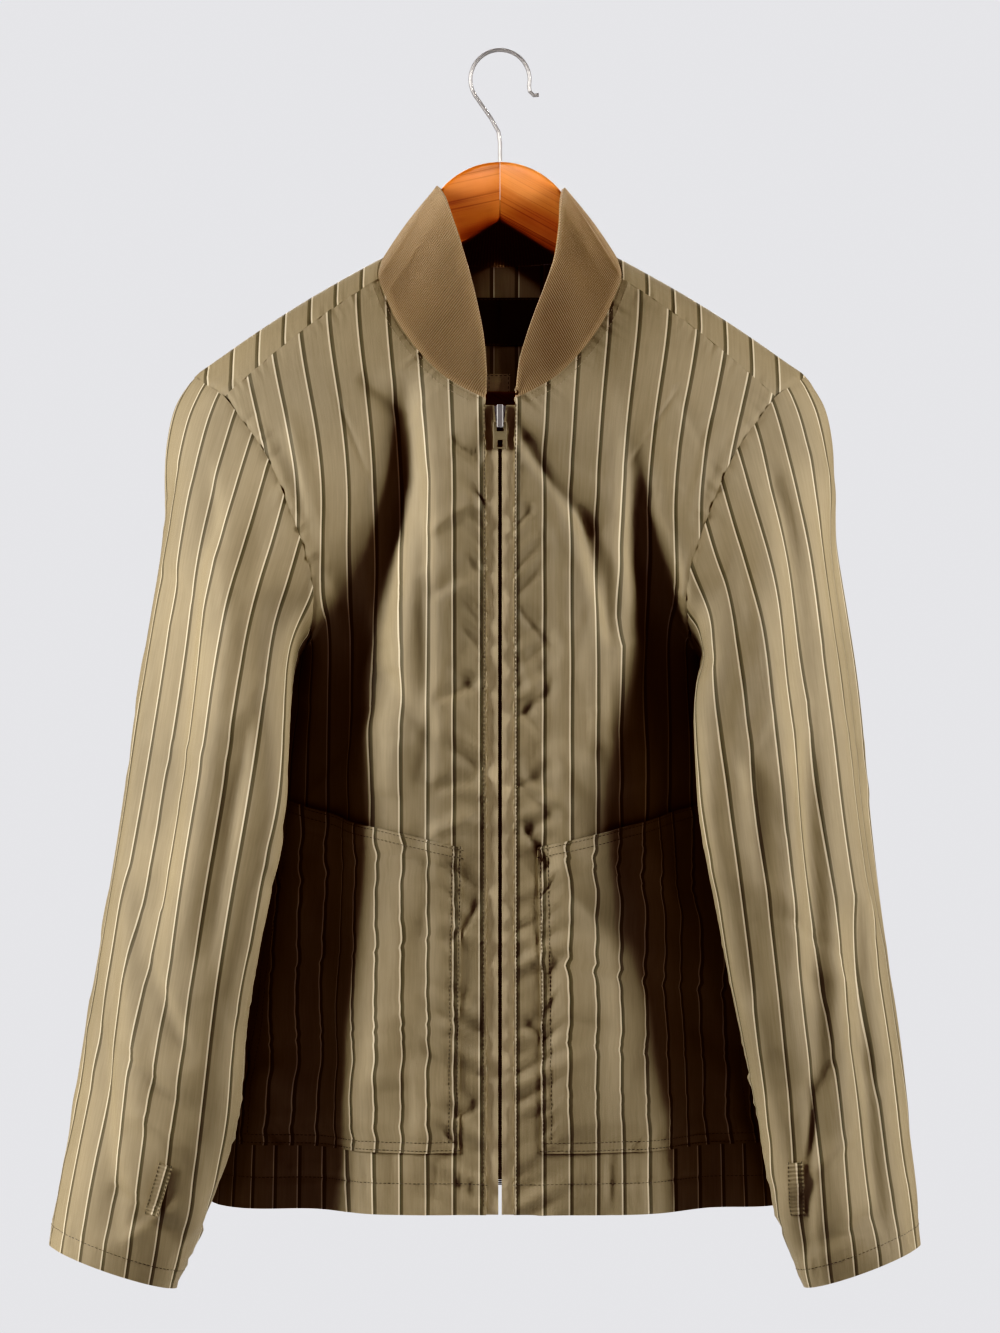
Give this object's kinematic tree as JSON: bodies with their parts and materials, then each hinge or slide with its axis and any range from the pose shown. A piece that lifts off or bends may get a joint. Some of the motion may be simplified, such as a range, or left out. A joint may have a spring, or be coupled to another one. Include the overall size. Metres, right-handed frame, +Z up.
{
  "type": "bomber jacket on a hanger",
  "caption": "Zipped bomber jacket of striped cloth with a stand collar in rib knit, patch pockets and slit cuffs, hanging on a flat wooden hanger with a wire hook.",
  "frame": {"origin": "top of the inside of the hook's bowl, where the rail carries the hanger", "axes": "+Z up, -Y towards the front of the jacket, +X towards the wearer's left"},
  "size_m": [0.6158, 0.1937, 0.8828],
  "materials": {
    "cloth": "striped cotton, slightly lustrous",
    "rib_knit": "fine rib knit, matt",
    "tape": "woven tape, matt",
    "label": "black satin, bare",
    "painted_metal": "khaki enamel, satin",
    "steel": "satin",
    "wood": "clear lacquer, satin"
  },
  "bodies": {
    "jacket": {"back": "cloth", "care_tab": "tape", "collar": "rib_knit", "front_left": "cloth", "front_right": "cloth", "hanger_arm_left": "wood", "hanger_arm_right": "wood", "hook": "steel", "neck_label": "label", "pocket_left": "cloth", "pocket_right": "cloth", "sleeve_top_left": "cloth", "sleeve_top_right": "cloth", "sleeve_under_left": "cloth", "sleeve_under_right": "cloth", "trouser_bar": "wood", "vent_welt_left": "cloth", "vent_welt_right": "cloth", "zip_chain": "tape", "zip_slider": "steel", "zip_tape_left": "tape", "zip_tape_right": "tape"},
    "pull_tab": {"zip_pull_tab": "painted_metal"}
  },
  "joints": [
    {"name": "pull_tab_swing", "type": "hinge", "parent": "jacket", "child": "pull_tab", "pos_m": [0, -0.08692, -0.27425], "axis": [-1, 0, 0], "range_deg": [0, 150]}
  ]
}
